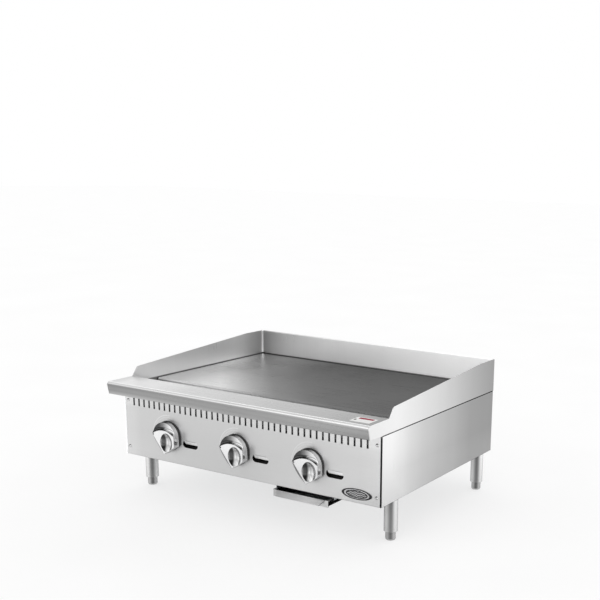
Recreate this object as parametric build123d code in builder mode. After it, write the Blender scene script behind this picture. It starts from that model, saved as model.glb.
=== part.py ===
from build123d import *
import math
import os

os.makedirs("parts", exist_ok=True)

# Three-burner countertop gas griddle, 36 inch class, with a full-width smooth plate.
# Millimetres, +Z up from the feet, +X towards the cook's right, +Y towards the rear.
# A depth is the distance behind the control panel's face; y_at() turns it into the model's Y.

# ---- body ----
WIDTH = 914.0            # over the side panels
HALF = WIDTH / 2
REAR = 658.5             # rear edge of the side panels
BULLNOSE_OUT = 66.0      # bullnose ahead of the control panel
PIPE_END = 690.0         # end of the gas inlet pipe
CENTRE = (PIPE_END - BULLNOSE_OUT) / 2
BASE_Z = 117.0           # underside of the body, legs part way out
FLOOR_Z = 119.5          # foot of the pieces that stand on the bottom pan
SEAM_Z = 312.0           # joint between the body and the splash weldment
SEAM_GAP = 1.1
SHEET = 1.2              # body sheet
SCREW_HOLE_R = 2.6
REAR_SCREW_X = HALF - 9.5
REAR_SCREW_Z = (140, 218, 296)
# ---- shelf and splash ----
SHELL = 2.0              # side splash plate
SPLASH_SHEET = 1.5       # front shelf and rear splash
SHELF_Z = 352.0
SHELF_REAR = 37.0
BULLNOSE_Z = 314.5       # lower edge of the bullnose face
BULLNOSE_R = 9.0
LEAN = math.radians(13.8)   # the bullnose face leans in towards its foot
TOP_Z = 413.0
SPLASH_IN = 654.0        # cooking side of the rear splash
SPLASH_REAR = 661.0
# ---- plate ----
PLATE_T = 19.0           # 3/4 inch steel
PLATE_FRONT = 134.0
PLATE_REAR = 652.5
PLATE_GAP = 2.0
# ---- grease ----
TROUGH_FRONT = 40.0
TROUGH_REAR = 131.0
TROUGH_Z = 262.0
CHUTE = (170.0, 86.0)    # x, depth
CHUTE_BORE_R = 19.0
DRAWER_X = 197.5
DRAWER_LEN = 400.0
DRAWER_OUT = 3.0         # front of the drawer ahead of the panel
DRAWER_Z = 87.0
DRAWER_TOP = 106.0
# ---- controls ----
PANEL_HALF = 452.5
PANEL_TOP = 311.0
KNOB_X = (-283.0, -27.5, 228.0)
KNOB_Z = 199.0
KNOB_R = 44.0
KNOB_BACK = 5.5          # back of the knob ahead of the panel
GRIP_OUT = 27.0          # front of the knob's grip
SKIRT_OUT = 19.0         # front of the knob's skirt
STEM_R = 4.0
RUN = 0.05               # radial running clearance of the turning pieces
SIGHT_X = (-200.0, 58.0, 309.0)
SIGHT_Z = 183.4
SIGHT_SIZE = (57, 21.6)
VENTS = 42
VENT_FIRST, VENT_LAST = -418.0, 412.0
PANEL_SCREW_X = 442.0
PANEL_SCREW_Z = (286.0, 142.0)
# ---- gas ----
PIPE_R = 13.35           # 3/4 inch pipe
PIPE_BORE_R = 10.4
THREAD_R = 13.2          # over its threaded end
MANIFOLD_DEPTH, MANIFOLD_Z = 38.0, 158.0
MANIFOLD_HALF = 420.0
INLET_X = 400.0
VALVE_BOSS_H = 18        # tops of the manifold's bosses above its axis
PILOT_BOSS_H = 16
VALVE_REAR = 54
ORIFICE_FRONT = 66
PILOT_LINE_Z = MANIFOLD_Z + 26
PILOT_Z = KNOB_Z + 6
BURNER_PITCH = 290.0
BURNER_X = (-BURNER_PITCH, 0.0, BURNER_PITCH)
BURNER_R = 16.0
BURNER_FRONT = 172       # axis of the burner's cross tube
BURNER_LEG = 70.0        # burner leg's axis from the burner's centre
VENTURI_R = 14.0
VENTURI_FRONT = 80
SHUTTER_FRONT = 88
AIR_WINDOW = 96          # depth of the air window's centre
# ---- legs ----
LEG_X = 437.0
LEG_DEPTH = (82.0, 603.0)
SLEEVE_R = 19.0
FOOT_R = 14.3

NAMES = ("left", "centre", "right")
SIDES = (("left", -1), ("right", 1))


def y_at(depth):
    """Model Y of a distance behind the control panel's face."""
    return depth - CENTRE


def facing(depth):
    """Plane that faces the cook; a negative extrusion runs to the rear."""
    return Plane.XZ.offset(-y_at(depth))


def level(z):
    return Plane.XY.offset(z)


def across(x):
    return Plane.YZ.offset(x)


def section(*points):
    """(depth, z) pairs as points on an across() plane."""
    return [(y_at(depth), z) for depth, z in points]


def plan(*points):
    """(x, depth) pairs as points on a level() plane."""
    return [(x, y_at(depth)) for x, depth in points]


def mirrored(points, sign):
    return [(sign * x, other) for x, other in points]


def rear_screws_at(sign):
    return [(sign * REAR_SCREW_X, z) for z in REAR_SCREW_Z]


def save(block, name):
    block.part.label = name
    export_step(block.part, "parts/" + name + ".step")


def strip(plane, outline, bends, gauge, run, inside=Side.LEFT):
    """Folded sheet: the outside of its section, the bend radii, its gauge and its length."""
    with BuildPart() as folded:
        with BuildSketch(plane):
            with BuildLine():
                FilletPolyline(*outline, radius=bends)
                offset(amount=gauge, side=inside)
            make_face()
        extrude(amount=run)
    return folded.part


KNOB_SPOTS = [(x, KNOB_Z) for x in KNOB_X]
PANEL_SCREWS = [(sign * PANEL_SCREW_X, z) for sign in (-1, 1) for z in PANEL_SCREW_Z]
REAR_SCREWS = rear_screws_at(-1) + rear_screws_at(1)
LEG_SPOTS = plan(*[(sign * LEG_X, depth) for sign in (-1, 1) for depth in LEG_DEPTH])
MANIFOLD_SPOT = section((MANIFOLD_DEPTH, MANIFOLD_Z))


# ---------------------------------------------------------------- body sheet metal
def side_panel(side, sign):
    base_flange = 13.5
    path = [(HALF - base_flange, BASE_Z), (HALF, BASE_Z), (HALF, SEAM_Z - SEAM_GAP / 2)]
    if sign < 0:
        path = mirrored(path, -1)[::-1]
    with BuildPart() as panel:
        add(strip(facing(REAR), path, 2.4, SHEET, REAR))
        # rear return that carries the back panel
        with BuildSketch(facing(REAR)):
            with Locations((sign * (HALF - 9.3), REAR_SCREW_Z[1])):
                Rectangle(17, 180)
        extrude(amount=SHEET)
        with BuildSketch(facing(REAR)):
            with Locations(*rear_screws_at(sign)):
                Circle(SCREW_HOLE_R)
        extrude(amount=SHEET, mode=Mode.SUBTRACT)
        # notch that lets the control panel's lower return pass
        with BuildSketch(level(BASE_Z - 1)):
            with Locations((sign * (HALF - 9.2), y_at(7))):
                Rectangle(11.6, 20)
        extrude(amount=2 * SHEET + 1, mode=Mode.SUBTRACT)
    save(panel, "side_panel_" + side)


def base_channel(side, sign):
    """Channel on the bottom pan that takes the legs' studs."""
    inner, outer, flange_top = 408, 454, 131.5
    rear, length = 640, 610
    outline = [(inner, flange_top), (inner, FLOOR_Z), (outer, FLOOR_Z), (outer, flange_top)]
    with BuildPart() as channel:
        add(strip(facing(rear), mirrored(outline, sign), 4.0, 2.5, length,
                  Side.LEFT if sign > 0 else Side.RIGHT))
        with BuildSketch(level(FLOOR_Z - 0.5)):
            with Locations(*plan(*[(sign * LEG_X, depth) for depth in LEG_DEPTH])):
                Circle(5.4)
        extrude(amount=4, mode=Mode.SUBTRACT)
    save(channel, "base_channel_" + side)


for side, sign in SIDES:
    side_panel(side, sign)
    base_channel(side, sign)

# Z brackets between the control panel and the side panels, clear of the gaps beside the panel
BRACKET = [(428, 1.3), (450, 1.3), (450, 20), (455.7, 20), (455.7, 50)]   # x, depth
BRACKET_Z, BRACKET_H = 125, 180
with BuildPart() as panel_brackets:
    for sign in (-1, 1):
        add(strip(level(BRACKET_Z), plan(*mirrored(BRACKET, sign)), 2.0, SHEET, BRACKET_H,
                  Side.LEFT if sign > 0 else Side.RIGHT))
    with BuildSketch(facing(1.0)):
        with Locations(*PANEL_SCREWS):
            Circle(2.5)
    extrude(amount=-3, mode=Mode.SUBTRACT)
save(panel_brackets, "panel_brackets")

PAN_HALF = 454.2
PAN_FRONT, PAN_REAR = 4, 656
with BuildPart() as bottom_pan:
    with BuildSketch(level(BASE_Z + SHEET)):
        with Locations((0, y_at((PAN_FRONT + PAN_REAR) / 2))):
            Rectangle(2 * PAN_HALF, PAN_REAR - PAN_FRONT)
    extrude(amount=SHEET)
    with BuildSketch(level(BASE_Z)):
        with Locations(*LEG_SPOTS):
            Circle(5.6)
        with Locations(*plan(CHUTE)):
            Circle(23)
        # air inlets under the burners
        with Locations((0, y_at(390))):
            with GridLocations(BURNER_PITCH, 90, 3, 4):
                SlotOverall(150, 22)
    extrude(amount=4, mode=Mode.SUBTRACT)
save(bottom_pan, "bottom_pan")

REAR_PANEL_HALF = 455
REAR_PANEL_FOOT, REAR_PANEL_TOP = 119, 311
with BuildPart() as rear_panel:
    with BuildSketch(facing(REAR + SHEET)):
        with Locations((0, (REAR_PANEL_FOOT + REAR_PANEL_TOP) / 2)):
            Rectangle(2 * REAR_PANEL_HALF, REAR_PANEL_TOP - REAR_PANEL_FOOT)
    extrude(amount=SHEET)
    with BuildSketch(facing(REAR + SHEET)):
        with Locations(*REAR_SCREWS):
            Circle(SCREW_HOLE_R)
        with Locations((INLET_X, MANIFOLD_Z)):
            Circle(15.5)
        # two rows of slots
        with Locations((0, 278)):
            with GridLocations(52, 24, 14, 2):
                SlotOverall(38, 9)
    extrude(amount=SHEET, mode=Mode.SUBTRACT)
save(rear_panel, "rear_panel")

VENT_PITCH = (VENT_LAST - VENT_FIRST) / (VENTS - 1)
VENT_Z = 290.3
VENT_SIZE = (6.0, 35.5)
SIGHT_LIP = [(0.2, 10.4), (1.0, 12.2), (9.4, -1.2), (8.4, -2.0)]   # depth, height over SIGHT_Z
SIGHT_LIP_LEN = 50
with BuildPart() as control_panel:
    add(strip(across(-PANEL_HALF),
              section((15, BASE_Z), (0, BASE_Z), (0, PANEL_TOP), (12, PANEL_TOP)),
              2.2, SHEET, 2 * PANEL_HALF, Side.RIGHT))
    with BuildSketch(facing(0)):
        # row of cooling slots, their heads tucked up under the bullnose
        with Locations(*[(VENT_FIRST + i * VENT_PITCH, VENT_Z) for i in range(VENTS)]):
            Rectangle(*VENT_SIZE)
        with Locations(*KNOB_SPOTS):
            Circle(6.5)
        with Locations(*[(x, SIGHT_Z) for x in SIGHT_X]):
            SlotOverall(*SIGHT_SIZE)
        with Locations(*PANEL_SCREWS):
            Circle(SCREW_HOLE_R)
    extrude(amount=-4, mode=Mode.SUBTRACT)
    # lip pressed inwards from the top edge of each sight opening
    for x in SIGHT_X:
        with BuildSketch(across(x - SIGHT_LIP_LEN / 2)):
            with BuildLine():
                Polyline(*section(*[(depth, SIGHT_Z + rise) for depth, rise in SIGHT_LIP]),
                         close=True)
            make_face()
        extrude(amount=SIGHT_LIP_LEN)
save(control_panel, "control_panel")

# ---------------------------------------------------------------- shelf and splash weldment
# depth of the leaning bullnose face at the height of its top round's centre
ROUND_FACE = -BULLNOSE_OUT + BULLNOSE_R - BULLNOSE_R / math.cos(LEAN)


def bullnose_face(z):
    """Point (depth, z) on the leaning bullnose face."""
    return ROUND_FACE + (SHELF_Z - BULLNOSE_R - z) * math.tan(LEAN), z


NOSE = bullnose_face(SHELF_Z)
NOSE_FOOT = bullnose_face(BULLNOSE_Z)

SHELF_HALF = 454.6
with BuildPart() as front_shelf:
    add(strip(across(-SHELF_HALF),
              section((SHELF_REAR, 334), (SHELF_REAR, SHELF_Z), NOSE, NOSE_FOOT, (-8, 312.9)),
              (2.6, BULLNOSE_R, 3.0), SPLASH_SHEET, 2 * SHELF_HALF))
save(front_shelf, "front_shelf")

# closed profile from the front foot over the nose, up the slope and down to the rear foot
SPLASH_PROFILE = section(
    (-6, SEAM_Z + 0.6), NOSE_FOOT, NOSE, (34, SHELF_Z), (54, 379), (567, TOP_Z),
    (SPLASH_REAR, TOP_Z), (SPLASH_REAR, SEAM_Z + SEAM_GAP / 2))
for side, splash_x in (("left", -HALF), ("right", HALF - SHELL)):
    with BuildPart() as side_splash:
        with BuildSketch(across(splash_x)):
            with BuildLine():
                FilletPolyline(*SPLASH_PROFILE, radius=(2.0, BULLNOSE_R, 8.0, 12.0, 30.0, 2.0))
                Line(SPLASH_PROFILE[-1], SPLASH_PROFILE[0])
            make_face()
        extrude(amount=SHELL)
    save(side_splash, "side_splash_" + side)

SPLASH_HALF = 454.9
BEAD = 4.5               # reach of a corner's weld bead along each wall
BEAD_MID = 1.7           # its middle, off each wall
BEAD_FOOT = 333
BEAD_BACK = SPLASH_IN + 0.5
with BuildPart() as rear_splash:
    add(strip(across(-SPLASH_HALF),
              section((SPLASH_IN, SEAM_Z + 0.6), (SPLASH_IN, TOP_Z), (SPLASH_REAR, TOP_Z),
                      (SPLASH_REAR, TOP_Z - 20)),
              2.4, SPLASH_SHEET, 2 * SPLASH_HALF, Side.RIGHT))
    # weld beads dressed into the two inside corners
    for sign in (-1, 1):
        corner, on_side, middle, on_back = plan(
            (sign * SPLASH_HALF, BEAD_BACK), (sign * SPLASH_HALF, BEAD_BACK - BEAD),
            (sign * (SPLASH_HALF - BEAD_MID), BEAD_BACK - BEAD_MID),
            (sign * (SPLASH_HALF - BEAD), BEAD_BACK))
        with BuildSketch(level(BEAD_FOOT)):
            with BuildLine():
                Line(corner, on_side)
                ThreePointArc(on_side, middle, on_back)
                Line(on_back, corner)
            make_face()
        extrude(amount=TOP_Z - SPLASH_SHEET - BEAD_FOOT)
save(rear_splash, "rear_splash")

# ---------------------------------------------------------------- griddle plate and its rests
with BuildPart() as griddle_plate:
    with BuildSketch(level(SEAM_Z)):
        with Locations((0, y_at((PLATE_FRONT + PLATE_REAR) / 2))):
            Rectangle(2 * (HALF - SHELL - PLATE_GAP), PLATE_REAR - PLATE_FRONT)
    extrude(amount=PLATE_T)
    # bevel the top's front edge, then ease its other edges
    chamfer(griddle_plate.faces().sort_by(Axis.Z)[-1].edges().sort_by(Axis.Y)[0], length=4.0)
    fillet(griddle_plate.faces().sort_by(Axis.Z)[-1].edges().sort_by(Axis.Y)[1:], radius=1.2)
save(griddle_plate, "griddle_plate")

# welded angle frame the plate rests on
FRAME_FRONT, FRAME_REAR = 134.5, 648
FRAME_HALF = 452         # front and rear angles
FRAME_SIDE_X = 455.6     # outside of the side angles
FRAME_T = 3.0
FRAME_BEND = 4.5
FRAME_FOOT = 264
with BuildPart() as plate_frame:
    for sign in (-1, 1):
        outline = [(420, SEAM_Z), (FRAME_SIDE_X, SEAM_Z), (FRAME_SIDE_X, 270)]
        add(strip(facing(FRAME_REAR), mirrored(outline, sign), FRAME_BEND, FRAME_T,
                  FRAME_REAR - FRAME_FRONT, Side.RIGHT if sign > 0 else Side.LEFT))
    for outline in (
            [(FRAME_FRONT, FRAME_FOOT), (FRAME_FRONT, SEAM_Z), (170, SEAM_Z)],
            [(612, SEAM_Z), (FRAME_REAR, SEAM_Z), (FRAME_REAR, FRAME_FOOT)]):
        add(strip(across(-FRAME_HALF), section(*outline), FRAME_BEND, FRAME_T,
                  2 * FRAME_HALF, Side.RIGHT))
    # round holes through the front angle
    with BuildSketch(facing(134)):
        with Locations((0, 282)):
            with GridLocations(120, 1, 6, 1):
                Circle(8)
    extrude(amount=-5, mode=Mode.SUBTRACT)
    # flue openings behind the burners
    with BuildSketch(facing(640)):
        with Locations((0, 284)):
            with GridLocations(110, 1, 7, 1):
                SlotOverall(80, 26)
    extrude(amount=-12, mode=Mode.SUBTRACT)
save(plate_frame, "plate_frame")

# ---------------------------------------------------------------- grease path
TROUGH_HALF = 453
TROUGH_T = 1.5
TROUGH_BEND = 7.0
TROUGH_RIM = 309         # top of the rear wall and the ends
TROUGH_END = section((TROUGH_FRONT, TROUGH_RIM), (TROUGH_FRONT, TROUGH_Z),
                     (TROUGH_REAR, TROUGH_Z), (TROUGH_REAR, TROUGH_RIM))
with BuildPart() as grease_trough:
    add(strip(across(-TROUGH_HALF), section((TROUGH_FRONT, 333)) + TROUGH_END[1:],
              TROUGH_BEND, TROUGH_T, 2 * TROUGH_HALF))
    for x in (-TROUGH_HALF, TROUGH_HALF - TROUGH_T):
        with BuildSketch(across(x)):
            with BuildLine():
                FilletPolyline(*TROUGH_END, radius=TROUGH_BEND)
                Line(TROUGH_END[-1], TROUGH_END[0])
            make_face()
        extrude(amount=TROUGH_T)
    with BuildSketch(level(TROUGH_Z - 1)):
        with Locations(*plan(CHUTE)):
            Circle(CHUTE_BORE_R)
    extrude(amount=4, mode=Mode.SUBTRACT)
save(grease_trough, "grease_trough")

CHUTE_FOOT = 111
CHUTE_FLANGE_T = 2
with BuildPart() as grease_chute:
    with BuildSketch(level(TROUGH_Z - CHUTE_FLANGE_T)):
        with Locations(*plan(CHUTE)):
            Circle(31)
    extrude(amount=CHUTE_FLANGE_T)
    with BuildSketch(level(CHUTE_FOOT)):
        with Locations(*plan(CHUTE)):
            Circle(20.5)
    extrude(amount=TROUGH_Z - CHUTE_FLANGE_T - CHUTE_FOOT)
    with BuildSketch(level(CHUTE_FOOT - 1)):
        with Locations(*plan(CHUTE)):
            Circle(CHUTE_BORE_R)
    extrude(amount=160, mode=Mode.SUBTRACT)
save(grease_chute, "grease_chute")

TRAY_HALF = 88.5         # half width over the drawer's walls
TRAY_SPOT = (DRAWER_X, y_at((DRAWER_LEN - DRAWER_OUT) / 2))
TRAY_LEN = DRAWER_LEN + DRAWER_OUT
RUNNER_FRONT = -1.5
RUNNER_W = 7.0
LIP_LEFT, LIP_RIGHT = 117, 279
LIP_ROOT, LIP_TIP, LIP_CUT = -3.4, -20.0, -21   # depths; the cut runs past the tip
LIP_TAPER = 9            # run-in of each end at the lip's tip
with BuildPart() as grease_drawer:
    with BuildSketch(level(DRAWER_Z)):
        with Locations(TRAY_SPOT):
            Rectangle(2 * TRAY_HALF, TRAY_LEN)
    extrude(amount=DRAWER_TOP - DRAWER_Z)
    fillet(grease_drawer.edges().filter_by(Axis.Y).group_by(Axis.Z)[0], radius=3)
    with BuildSketch(level(DRAWER_Z + SHEET)):
        with Locations(TRAY_SPOT):
            Rectangle(2 * (TRAY_HALF - SHEET), TRAY_LEN - 2 * SHEET)
    extrude(amount=40, mode=Mode.SUBTRACT)
    # runners bent out along both sides
    for sign in (-1, 1):
        with BuildSketch(level(DRAWER_TOP - SHEET)):
            with Locations((DRAWER_X + sign * (TRAY_HALF + 2.9),
                            y_at((DRAWER_LEN + RUNNER_FRONT) / 2))):
                Rectangle(RUNNER_W, DRAWER_LEN - RUNNER_FRONT)
        extrude(amount=SHEET)
    # front a little wider than the tray
    with BuildSketch(facing(-DRAWER_OUT + SHEET)):
        with Locations((DRAWER_X, (DRAWER_Z + DRAWER_TOP) / 2)):
            Rectangle(185, DRAWER_TOP - DRAWER_Z)
    extrude(amount=SHEET)
    # pull lip folded forwards and down from the front's top edge
    with BuildSketch(across(LIP_LEFT)):
        with BuildLine():
            Polyline(*section((-1.8, DRAWER_TOP), (LIP_ROOT, DRAWER_TOP), (LIP_TIP, 94.4),
                              (-19.3, 93.4), (-2.9, 104.6), (-1.8, 104.6)), close=True)
        make_face()
    extrude(amount=LIP_RIGHT - LIP_LEFT)
    # the lip's ends run in towards its outer edge
    with BuildSketch(level(DRAWER_Z)):
        for x, taper in ((LIP_LEFT, LIP_TAPER), (LIP_RIGHT, -LIP_TAPER)):
            reach = taper * (LIP_CUT - LIP_ROOT) / (LIP_TIP - LIP_ROOT)
            with BuildLine():
                Polyline(*plan((x, LIP_ROOT), (x, LIP_CUT), (x + reach, LIP_CUT)), close=True)
            make_face()
    extrude(amount=20, mode=Mode.SUBTRACT)
save(grease_drawer, "grease_drawer")

RAIL = [(82, 118.2), (98.5, 118.2), (98.5, 103.2), (90.5, 103.2)]   # x off the drawer's axis, z
RAIL_REAR, RAIL_LEN = 412, 394
for side, sign in SIDES:
    with BuildPart() as drawer_rail:
        add(strip(facing(RAIL_REAR), [(DRAWER_X + sign * out, z) for out, z in RAIL],
                  1.8, SHEET, RAIL_LEN, Side.RIGHT if sign > 0 else Side.LEFT))
    save(drawer_rail, "drawer_rail_" + side)

# ---------------------------------------------------------------- gas train
TEE_R, TEE_BORE_R = 18, 13.6
TEE_LEN = 34
with BuildPart() as gas_manifold:
    with BuildSketch(across(-MANIFOLD_HALF)):
        with Locations(*MANIFOLD_SPOT):
            Circle(PIPE_R)
    extrude(amount=2 * MANIFOLD_HALF)
    # tee that the inlet pipe screws into
    with BuildSketch(facing(MANIFOLD_DEPTH)):
        with Locations((INLET_X, MANIFOLD_Z)):
            Circle(TEE_R)
    extrude(amount=-TEE_LEN)
    # bosses for the burner valves and the pilot valves
    for boss_x, boss_r, boss_h in ((KNOB_X, 10, VALVE_BOSS_H), (SIGHT_X, 7, PILOT_BOSS_H)):
        with BuildSketch(level(MANIFOLD_Z)):
            with Locations(*plan(*[(x, MANIFOLD_DEPTH) for x in boss_x])):
                Circle(boss_r)
        extrude(amount=boss_h)
    with BuildSketch(across(-MANIFOLD_HALF - 1)):
        with Locations(*MANIFOLD_SPOT):
            Circle(PIPE_BORE_R)
    extrude(amount=2 * MANIFOLD_HALF + 2, mode=Mode.SUBTRACT)
    with BuildSketch(facing(MANIFOLD_DEPTH)):
        with Locations((INLET_X, MANIFOLD_Z)):
            Circle(TEE_BORE_R)
    extrude(amount=-TEE_LEN - 2, mode=Mode.SUBTRACT)
save(gas_manifold, "gas_manifold")

PLUG_HEAD, PLUG_THREAD = 12, 10   # lengths
with BuildPart() as manifold_plugs:
    for head_x, thread_x in ((-MANIFOLD_HALF - PLUG_HEAD, -MANIFOLD_HALF),
                             (MANIFOLD_HALF, MANIFOLD_HALF - PLUG_THREAD)):
        with BuildSketch(across(head_x)):
            with Locations(*MANIFOLD_SPOT):
                RegularPolygon(16.5, 6)
        extrude(amount=PLUG_HEAD)
        with BuildSketch(across(thread_x)):
            with Locations(*MANIFOLD_SPOT):
                Circle(10.3)
        extrude(amount=PLUG_THREAD)
save(manifold_plugs, "manifold_plugs")

PIPE_START = MANIFOLD_DEPTH + 20
THREAD_LEN = 26
with BuildPart() as gas_inlet_pipe:
    with BuildSketch(facing(PIPE_START)):
        with Locations((INLET_X, MANIFOLD_Z)):
            Circle(PIPE_R)
            Circle(PIPE_BORE_R, mode=Mode.SUBTRACT)
    extrude(amount=-(PIPE_END - PIPE_START - THREAD_LEN))
    # hexagon backnut, then the threaded end outside the back panel
    with BuildSketch(facing(660.5)):
        with Locations((INLET_X, MANIFOLD_Z)):
            RegularPolygon(20.5, 6)
            Circle(PIPE_R - 1, mode=Mode.SUBTRACT)
    extrude(amount=-7.5)
    with BuildSketch(facing(PIPE_END - THREAD_LEN)):
        with Locations((INLET_X, MANIFOLD_Z)):
            Circle(THREAD_R)
            Circle(PIPE_BORE_R, mode=Mode.SUBTRACT)
    extrude(amount=-THREAD_LEN)
    pipe_mouth = gas_inlet_pipe.faces().sort_by(Axis.Y)[-1]
    chamfer(pipe_mouth.edges().sort_by(SortBy.RADIUS)[-1], length=1.0)
save(gas_inlet_pipe, "gas_inlet_pipe")

CLIP_HALF = 20           # half depth of a manifold bracket
CLIP_TOP = 180
CLIP_T = 3
CLIP_FOOT_W = 24
CLIP = section((MANIFOLD_DEPTH - CLIP_HALF, FLOOR_Z), (MANIFOLD_DEPTH - CLIP_HALF, CLIP_TOP),
               (MANIFOLD_DEPTH + CLIP_HALF, CLIP_TOP), (MANIFOLD_DEPTH + CLIP_HALF, FLOOR_Z))
with BuildPart() as manifold_brackets:
    for x in (-352.0, 352.0):
        with BuildSketch(across(x)):
            with BuildLine():
                FilletPolyline(*CLIP, radius=8)
                Line(CLIP[-1], CLIP[0])
            make_face()
            with Locations(*MANIFOLD_SPOT):
                Circle(PIPE_R + 0.15, mode=Mode.SUBTRACT)
        extrude(amount=CLIP_T)
        with BuildSketch(level(FLOOR_Z)):
            with Locations((x + CLIP_FOOT_W / 2, y_at(MANIFOLD_DEPTH))):
                Rectangle(CLIP_FOOT_W, 2 * CLIP_HALF)
        extrude(amount=CLIP_T)
save(manifold_brackets, "manifold_brackets")


def gas_valve(name, x):
    """Bonnet towards the cook, body, outlet, and a spur down onto the manifold's boss."""
    body_front = 12
    with BuildPart() as valve:
        with BuildSketch(facing(body_front)):
            with Locations((x, KNOB_Z)):
                Circle(12.5)
        extrude(amount=body_front - VALVE_REAR)
        with BuildSketch(facing(body_front)):
            with Locations((x, KNOB_Z)):
                RegularPolygon(10.5, 6)
        extrude(amount=6)
        with BuildSketch(facing(VALVE_REAR)):
            with Locations((x, KNOB_Z)):
                Circle(6)
        extrude(amount=VALVE_REAR - ORIFICE_FRONT)
        with BuildSketch(level(MANIFOLD_Z + VALVE_BOSS_H)):
            with Locations((x, y_at(MANIFOLD_DEPTH))):
                Circle(8)
        extrude(amount=KNOB_Z - MANIFOLD_Z - VALVE_BOSS_H)
        # blind bore for the stem
        with BuildSketch(facing(5)):
            with Locations((x, KNOB_Z)):
                Circle(STEM_R + RUN)
        extrude(amount=-17, mode=Mode.SUBTRACT)
    save(valve, "gas_valve_" + name)


def u_burner(name, x, centre_x):
    """U burner about centre_x, on its venturi tube at x."""
    wall, venturi_wall = 2.5, 2
    end_cap = 3
    leg_len = 436
    venturi_len = BURNER_FRONT - VENTURI_FRONT
    half = BURNER_LEG + BURNER_R
    legs = [(centre_x - BURNER_LEG, KNOB_Z), (centre_x + BURNER_LEG, KNOB_Z)]
    with BuildPart() as burner:
        with BuildSketch(across(centre_x - half)):
            with Locations(*section((BURNER_FRONT, KNOB_Z))):
                Circle(BURNER_R)
        extrude(amount=2 * half)
        with BuildSketch(facing(BURNER_FRONT)):
            with Locations(*legs):
                Circle(BURNER_R)
        extrude(amount=-leg_len)
        with BuildSketch(facing(VENTURI_FRONT)):
            with Locations((x, KNOB_Z)):
                Circle(VENTURI_R)
        extrude(amount=-venturi_len)
        # bores
        with BuildSketch(across(centre_x - half + end_cap)):
            with Locations(*section((BURNER_FRONT, KNOB_Z))):
                Circle(BURNER_R - wall)
        extrude(amount=2 * (half - end_cap), mode=Mode.SUBTRACT)
        with BuildSketch(facing(BURNER_FRONT)):
            with Locations(*legs):
                Circle(BURNER_R - wall)
        extrude(amount=-(leg_len - end_cap), mode=Mode.SUBTRACT)
        with BuildSketch(facing(VENTURI_FRONT - 1)):
            with Locations((x, KNOB_Z)):
                Circle(VENTURI_R - venturi_wall)
        extrude(amount=-venturi_len, mode=Mode.SUBTRACT)
        # air windows at the venturi's mouth
        with BuildSketch(level(KNOB_Z - 20)):
            with Locations((x, y_at(AIR_WINDOW))):
                Rectangle(11, 12)
        extrude(amount=40, mode=Mode.SUBTRACT)
        # flame ports along both legs
        with BuildSketch(level(KNOB_Z)):
            with Locations((centre_x, y_at(396))):
                with GridLocations(2 * BURNER_LEG, 20, 2, 20):
                    SlotOverall(9, 3)
        extrude(amount=20, mode=Mode.SUBTRACT)
    save(burner, "burner_" + name)


def air_shutter(name, x):
    with BuildPart() as shutter:
        with BuildSketch(facing(SHUTTER_FRONT)):
            with Locations((x, KNOB_Z)):
                Circle(VENTURI_R + 1.6)
                Circle(VENTURI_R + RUN, mode=Mode.SUBTRACT)
        extrude(amount=2 * (SHUTTER_FRONT - AIR_WINDOW))
        with BuildSketch(level(KNOB_Z - 20)):
            with Locations((x, y_at(AIR_WINDOW))):
                Rectangle(9, 9)
        extrude(amount=40, mode=Mode.SUBTRACT)
        # thumb tab
        with BuildSketch(facing(SHUTTER_FRONT)):
            with Locations((x + VENTURI_R + 4.5, KNOB_Z)):
                Rectangle(7, 8)
        extrude(amount=-1.5)
    save(shutter, "air_shutter_" + name)


def pilot_burner(name, x):
    """Hood ahead of the burner on its own bent tube."""
    tube_front, riser, tube_rear = MANIFOLD_DEPTH + 12, 92, 139
    collar_front, hood_front = 138, 148
    with BuildPart() as pilot:
        with BuildLine():
            FilletPolyline((x, y_at(tube_front), PILOT_LINE_Z), (x, y_at(riser), PILOT_LINE_Z),
                           (x, y_at(riser), PILOT_Z), (x, y_at(tube_rear), PILOT_Z), radius=7)
        with BuildSketch(facing(tube_front)):
            with Locations((x, PILOT_LINE_Z)):
                Circle(2.4)
        sweep()
        with BuildSketch(facing(collar_front)):
            with Locations((x, PILOT_Z)):
                Circle(5.5)
        extrude(amount=collar_front - hood_front)
        with BuildSketch(facing(hood_front)):
            with Locations((x, PILOT_Z + 7)):
                Rectangle(16, 1.5)
            with Locations((x, PILOT_Z)):
                Rectangle(12, 14)
        extrude(amount=-3)
    save(pilot, "pilot_burner_" + name)


for name, knob_x, burner_x, sight_x in zip(NAMES, KNOB_X, BURNER_X, SIGHT_X):
    gas_valve(name, knob_x)
    u_burner(name, knob_x, burner_x)
    air_shutter(name, knob_x)
    pilot_burner(name, sight_x)

ORIFICE_HEX_LEN = 10
with BuildPart() as orifices:
    with BuildSketch(facing(ORIFICE_FRONT)):
        with Locations(*KNOB_SPOTS):
            RegularPolygon(7.5, 6)
    extrude(amount=-ORIFICE_HEX_LEN)
    with BuildSketch(facing(ORIFICE_FRONT + ORIFICE_HEX_LEN)):
        with Locations(*KNOB_SPOTS):
            Circle(4.5)
    extrude(amount=-7)
    with BuildSketch(facing(ORIFICE_FRONT - 1)):
        with Locations(*KNOB_SPOTS):
            Circle(1.2)
    extrude(amount=-20, mode=Mode.SUBTRACT)
save(orifices, "orifices")

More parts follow.
